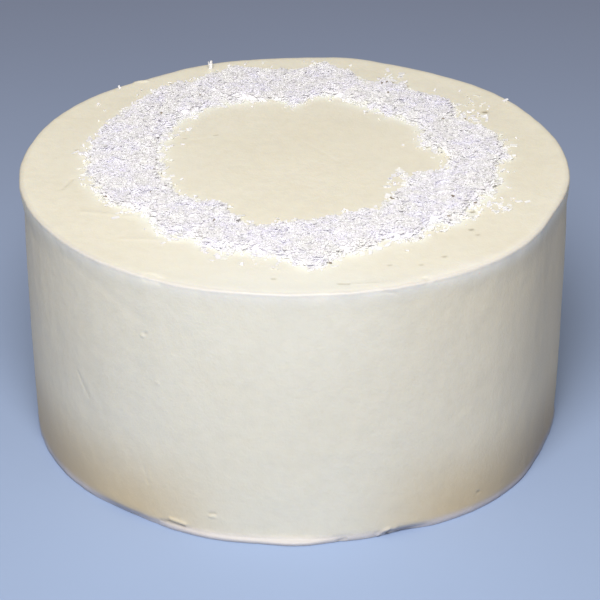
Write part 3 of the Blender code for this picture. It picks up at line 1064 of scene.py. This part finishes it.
def lay(name, kinds, draw, middles, tilt, sizes, material, brown_share=0.0):
    """Lays one of the shapes at each place, each with its own turn and shade.

    The outermost are creamier, because cream sticks to them, and a few are dark brown.
    """
    turned = turns(draw, len(middles), tilt)
    outermost = 1.0 - ring_rise(middles - cake_slide)
    shades = SHADE_LEVEL + SHADE_RANGE * draw.beta(*SHADE_CHANCE, len(middles))
    shades += SHADE_PATCHES * flat_lumps(middles, SHADE_SIZE, SHADE_START)
    shades += OUTER_CREAM * outermost * draw.uniform(OUTER_CREAM_LEAST, 1.0, len(middles))
    shades = np.clip(shades, SHADE_LEAST, 1.0)
    shades[draw.uniform(0.0, 1.0, len(middles)) < brown_share] = 0.0
    picks = draw.integers(0, len(kinds), len(middles))
    laid_points = []
    laid_faces = []
    laid_shades = []
    for middle, turn, size, shade, pick in zip(middles, turned, sizes, shades, picks):
        points, faces = kinds[pick]
        laid_points.append((points * size) @ turn.T + middle)
        laid_faces.append(faces)
        laid_shades.append(np.full(len(points), shade))
    join_coconut(name, laid_points, laid_faces, laid_shades, material)


def on_the_bank(draw, places, pile, thickness):
    """Where each flake's middle comes to lie: on the cream or the bed, or higher in the pile."""
    spots = places + cake_slide[:2]
    ground = np.maximum(height_under(cream_surface, spots), height_under(bed_surface, spots))
    piled = ring_rise(places) * pile * draw.uniform(0.0, 1.0, len(places))
    return np.column_stack((spots, ground + LIE_HEIGHT * thickness + piled))


def several_sizes(draw, number, least, most):
    """How much larger or smaller each flake is, along it, across it and through it."""
    along = draw.uniform(least, most, number)
    across = along * draw.uniform(*ACROSS_SIZES, number)
    return np.column_stack((along, across, draw.uniform(*THROUGH_SIZES, number)))


bed_surface = surface_of(bed)
shape_draw = random.Random(SEED)
flake_draw = np.random.default_rng(SEED)
flake_shapes = []
for kind in range(FLAKE_KINDS):
    long = FLAKE_LENGTH * shape_draw.uniform(*FLAKE_KIND_SIZES)
    wide = FLAKE_WIDTH * shape_draw.uniform(*FLAKE_KIND_SIZES)
    flake_shapes.append(
        model_shaving(f"flake_{kind}", long, wide, FLAKE_THICKNESS, FLAKE_PARTS, shape_draw)
    )
places = strew(flake_draw, FLAKE_NUMBER, bank_chance)
middles = on_the_bank(flake_draw, places, FLAKE_PILE, FLAKE_THICKNESS)
sizes = several_sizes(flake_draw, FLAKE_NUMBER, *FLAKE_SIZES)
dry_coconut = coconut_material("dry_coconut", FLAKE_DEPTH)
lay("coconut_flakes", flake_shapes, flake_draw, middles, FLAKE_TILT, sizes, dry_coconut)

# The shreds. The grater also leaves curled threads of coconut, 2 to 4 mm long, under a millimetre
# wide and as thin as the flakes, which lie over them and reach out of the ring's edges.
SHRED_KINDS = 6
SHRED_LENGTH = 0.0030
SHRED_WIDTH = 0.00085
SHRED_THICKNESS = 0.00030
SHRED_PARTS = 3
SHRED_NUMBER = 2800
SHRED_PILE = 0.0004
SHRED_TILT = 7.0
SHRED_KIND_SIZES = (0.75, 1.25)
SHRED_SIZES = (0.6, 1.3)

shred_draw = np.random.default_rng(SEED + 1)
shred_shapes = []
for kind in range(SHRED_KINDS):
    long = SHRED_LENGTH * shape_draw.uniform(*SHRED_KIND_SIZES)
    shred_shapes.append(
        model_shaving(f"shred_{kind}", long, SHRED_WIDTH, SHRED_THICKNESS, SHRED_PARTS, shape_draw)
    )
places = strew(shred_draw, SHRED_NUMBER, bank_chance)
middles = on_the_bank(shred_draw, places, SHRED_PILE, SHRED_THICKNESS)
sizes = several_sizes(shred_draw, SHRED_NUMBER, *SHRED_SIZES)
lay("coconut_shreds", shred_shapes, shred_draw, middles, SHRED_TILT, sizes, dry_coconut)

# The grains. Broken bits of coconut, most of them about a millimetre across, fill in between the
# flakes and lie loose on the cream round the ring. A few are dark brown.
GRAIN_KINDS = 6
GRAIN_SIZE = 0.00085
GRAIN_NUMBER = 6000
GRAIN_PILE = 0.0003
GRAIN_TILT = 15.0
GRAIN_SIZES = (0.6, 1.5)
GRAIN_STRETCH = ((0.9, 1.6), (0.7, 1.0), (0.5, 0.8))
GRAIN_TORN = 0.22
GRAIN_EVENNESS = 0.5
GRAIN_FRINGE = 0.5
GRAIN_REACH = 0.0019
BROWN_SHARE = 0.006


def model_grain(name, size, draw):
    """A small block with its corners pulled about."""
    bpy.ops.object.select_all(action="DESELECT")
    bpy.ops.mesh.primitive_cube_add(size=size, location=(0.0, 0.0, 0.0))
    grain = bpy.context.object
    grain.name = name
    bpy.ops.object.mode_set(mode="EDIT")
    bpy.ops.mesh.select_all(action="SELECT")
    stretch = tuple(draw.uniform(least, most) for least, most in GRAIN_STRETCH)
    bpy.ops.transform.resize(value=stretch)
    tear(GRAIN_TORN * size, GRAIN_EVENNESS, draw)
    bpy.ops.object.mode_set(mode="OBJECT")
    return take_shape(grain)


def grain_chance(places):
    """As the flakes, with more of the finest bits outside the ring."""
    edge = inside_ragged(places)
    fringe = GRAIN_FRINGE * np.exp(np.minimum(edge, 0.0) / GRAIN_REACH)
    return np.where(edge > DENSE_FROM, 1.0, np.maximum(fringe, loose_share(places)))


grain_draw = np.random.default_rng(SEED + 2)
grain_shapes = []
for kind in range(GRAIN_KINDS):
    grain_shapes.append(model_grain(f"grain_{kind}", GRAIN_SIZE, shape_draw))
places = strew(grain_draw, GRAIN_NUMBER, grain_chance)
middles = on_the_bank(grain_draw, places, GRAIN_PILE, GRAIN_SIZE)
sizes = several_sizes(grain_draw, GRAIN_NUMBER, *GRAIN_SIZES)
lay(
    "coconut_grains", grain_shapes, grain_draw, middles, GRAIN_TILT, sizes, dry_coconut, BROWN_SHARE
)

# The stray flakes. A few large shavings of the same coconut fell outside the ring: at the back two
# stand crossed on end in the soft cream, and the others lie on it towards the rim.
STRAY_THICKNESS = 0.0004
STRAY_PARTS = 3
STRAY_SHADE = 0.7
STANDS_AT = 0.45

# Each one's x, y, length, width, how far it is tipped up and which way it points, in degrees
STRAY_FLAKES = (
    (-0.0374, 0.1004, 0.0040, 0.0015, 82.0, 92.0),
    (-0.0379, 0.1004, 0.0037, 0.0009, 68.0, 178.0),
    (-0.0768, 0.0795, 0.0016, 0.0009, 40.0, 130.0),
    (0.0912, 0.0646, 0.0025, 0.0013, 10.0, 25.0),
    (0.0847, -0.0380, 0.0030, 0.0012, 12.0, -60.0),
    (0.0722, -0.0452, 0.0026, 0.0012, 8.0, 10.0),
    (0.0482, 0.0850, 0.0026, 0.0012, 14.0, 15.0),
    (0.0058, -0.0905, 0.0028, 0.0013, 6.0, 5.0),
)

stray_points = []
stray_faces = []
stray_shades = []
for number, (x, y, long, wide, tipped, heading) in enumerate(STRAY_FLAKES):
    points, faces = model_shaving(
        f"stray_{number}", long, wide, STRAY_THICKNESS, STRAY_PARTS, shape_draw
    )
    turn = Euler((0.0, -math.radians(tipped), math.radians(heading)), "XYZ").to_matrix()
    middle = np.array((x, y, 0.0)) + cake_slide
    middle[2] = height_under(cream_surface, middle[None, :])[0]
    middle[2] += STANDS_AT * long * math.sin(math.radians(tipped)) + LIE_HEIGHT * STRAY_THICKNESS
    stray_points.append(points @ np.array(turn).T + middle)
    stray_faces.append(faces)
    stray_shades.append(np.full(len(points), STRAY_SHADE))
join_coconut("coconut_strays", stray_points, stray_faces, stray_shades, dry_coconut)

# The floor. The cake stands on a plain table top, painted a pale matt blue-grey, which is a little
# cloudy. Its colour darkens towards the back: painted shade where the lamp's light falls off.
FLOOR_SIZE = 9.0
FLOOR_FRONT = (0.330, 0.426, 0.640)
FLOOR_MIDDLE = (0.338, 0.428, 0.638)
FLOOR_BACK_SHADED = (0.292, 0.349, 0.515)
FLOOR_STOPS = ((0.0, FLOOR_FRONT), (0.4, FLOOR_MIDDLE), (1.0, FLOOR_BACK_SHADED))
FLOOR_NEAR = -0.15
FLOOR_FAR = 0.45
FLOOR_DROP = 0.0002
FLOOR_CLOUDS = (4.0, 3.0, 0.5)
CLOUD = (0.97, 0.97, 0.97)
CLOUD_STOPS = ((0.35, CLOUD), (0.65, PLAIN))
FLOOR_SOCKETS = {"Roughness": 0.7, "Specular IOR Level": 0.2}

bpy.ops.object.select_all(action="DESELECT")
bpy.ops.mesh.primitive_plane_add(size=FLOOR_SIZE, location=(0.0, 0.0, -FLOOR_DROP))
floor = bpy.context.object
floor.name = "floor"
floor_finish, shader = new_material("pale_table")
place = add_node(floor_finish, "ShaderNodeTexCoord").outputs["Object"]
cloudy = add_noise(floor_finish, place, *FLOOR_CLOUDS)
cloud = add_ramp(floor_finish, cloudy, CLOUD_STOPS)
along = add_node(floor_finish, "ShaderNodeSeparateXYZ")
wire(floor_finish, place, along.inputs["Vector"])
away = add_node(floor_finish, "ShaderNodeMapRange")
away.inputs["From Min"].default_value = FLOOR_NEAR
away.inputs["From Max"].default_value = FLOOR_FAR
wire(floor_finish, along.outputs["Y"], away.inputs["Value"])
# Painted shade: the floor's colour darkens towards the back
colour = add_ramp(floor_finish, away.outputs["Result"], FLOOR_STOPS)
colour = add_mix(floor_finish, 1.0, colour, cloud, "MULTIPLY")
wire(floor_finish, colour, shader.inputs["Base Color"])
set_sockets(shader, FLOOR_SOCKETS)
floor.data.materials.append(floor_finish)

# The light. One broad soft lamp over the camera, a little to its left, and a dim pale room.
LAMP_PLACE = (-0.076, -0.824, 1.13)
LAMP_AIM = (0.0, 0.0, 0.05)
LAMP_SIZE = 0.75
LAMP_POWER = 20.8
LAMP_COLOUR = (1.0, 0.984, 0.948)
ROOM_COLOUR = (1.0, 0.88, 0.74)
ROOM_STRENGTH = 0.185

lamp_data = bpy.data.lights.new("lamp", "AREA")
lamp_data.shape = "DISK"
lamp_data.size = LAMP_SIZE
lamp_data.energy = LAMP_POWER
lamp_data.color = LAMP_COLOUR
lamp = bpy.data.objects.new("lamp", lamp_data)
bpy.context.scene.collection.objects.link(lamp)
lamp.location = LAMP_PLACE
lamp.rotation_euler = (Vector(LAMP_AIM) - lamp.location).to_track_quat("-Z", "Y").to_euler()

room = bpy.data.worlds.new("room")
room.use_nodes = True
room.node_tree.nodes["Background"].inputs["Color"].default_value = (*ROOM_COLOUR, 1.0)
room.node_tree.nodes["Background"].inputs["Strength"].default_value = ROOM_STRENGTH
bpy.context.scene.world = room
bpy.context.scene.view_settings.view_transform = "Standard"

# The camera. It stands 1.25 m away and looks 28.5 degrees down, with a long lens.
CAMERA_PLACE = (0.00041, -1.07737, 0.63575)
CAMERA_LENS = 173.34
CAMERA_SENSOR = 36.0
CAMERA_NEAREST = 0.05
CAMERA_YAW = 0.0925
CAMERA_PITCH = 28.511
CAMERA_ROLL = -0.2144

camera_data = bpy.data.cameras.new("camera")
camera_data.sensor_width = CAMERA_SENSOR
camera_data.lens = CAMERA_LENS
camera_data.clip_start = CAMERA_NEAREST
camera = bpy.data.objects.new("camera", camera_data)
bpy.context.scene.collection.objects.link(camera)
tip = Matrix.Rotation(math.radians(90.0 - CAMERA_PITCH), 3, "X")
swing = Matrix.Rotation(math.radians(-CAMERA_YAW), 3, "Z")
level = Matrix.Rotation(math.radians(CAMERA_ROLL), 3, "Z")
camera.rotation_euler = (swing @ tip @ level).to_euler()
camera.location = CAMERA_PLACE
bpy.context.scene.camera = camera
